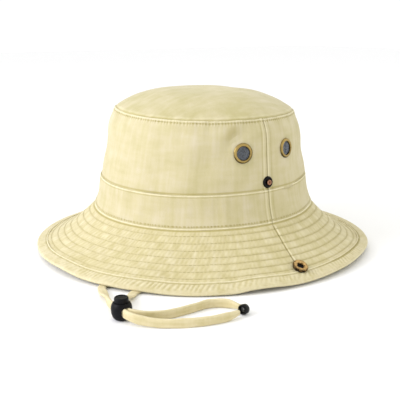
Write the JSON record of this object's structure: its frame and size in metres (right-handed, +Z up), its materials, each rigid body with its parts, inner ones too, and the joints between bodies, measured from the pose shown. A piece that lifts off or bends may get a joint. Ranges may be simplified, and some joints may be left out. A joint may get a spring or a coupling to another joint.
{
  "type": "wide brim bucket hat",
  "caption": "Soft cotton sun hat with a domed crown, a band, a stitched sloping brim, side eyelets, snaps and a chin cord with a spring lock.",
  "frame": {"origin": "on the surface that the hat rests on, under the middle of the brim's outline", "axes": "+Z up through the crown, the front of the hat faces -Y, the wearer's left is +X"},
  "size_m": [0.2971, 0.3016, 0.1301],
  "materials": {
    "cotton": "washed pale yellow cotton, quilted on the brim",
    "cord_cotton": "flat cord of the same pale yellow cotton",
    "antique_brass": "antique, satin",
    "wire_mesh": "woven wire",
    "stud_metal": "glossy black over copper",
    "lock_plastic": "matte black",
    "bead_plastic": "glossy black"
  },
  "bodies": {
    "hat": {"crown_top": "cotton", "crown_side_front": "cotton", "crown_side_back": "cotton", "band_front": "cotton", "band_back": "cotton", "brim_front": "cotton", "brim_back": "cotton", "brim_binding": "cotton", "eyelet_left_front_ring": "antique_brass", "eyelet_left_back_ring": "antique_brass", "eyelet_right_front_ring": "antique_brass", "eyelet_right_back_ring": "antique_brass", "eyelet_left_front_mesh": "wire_mesh", "eyelet_left_back_mesh": "wire_mesh", "eyelet_right_front_mesh": "wire_mesh", "eyelet_right_back_mesh": "wire_mesh", "crown_snap_stud_left": "stud_metal", "crown_snap_stud_right": "stud_metal", "brim_snap_socket_left": "antique_brass", "brim_snap_socket_right": "antique_brass", "chin_cord_left": "cord_cotton", "chin_cord_right": "cord_cotton", "cord_lock_body": "lock_plastic", "cord_end_bead": "bead_plastic"},
    "plunger": {"cord_lock_plunger": "lock_plastic"}
  },
  "joints": [
    {"name": "cord_lock_press", "type": "slide", "parent": "hat", "child": "plunger", "axis": [0, 0, -1], "range_m": [0, 0.002], "stiffness_N_per_m": 300}
  ]
}
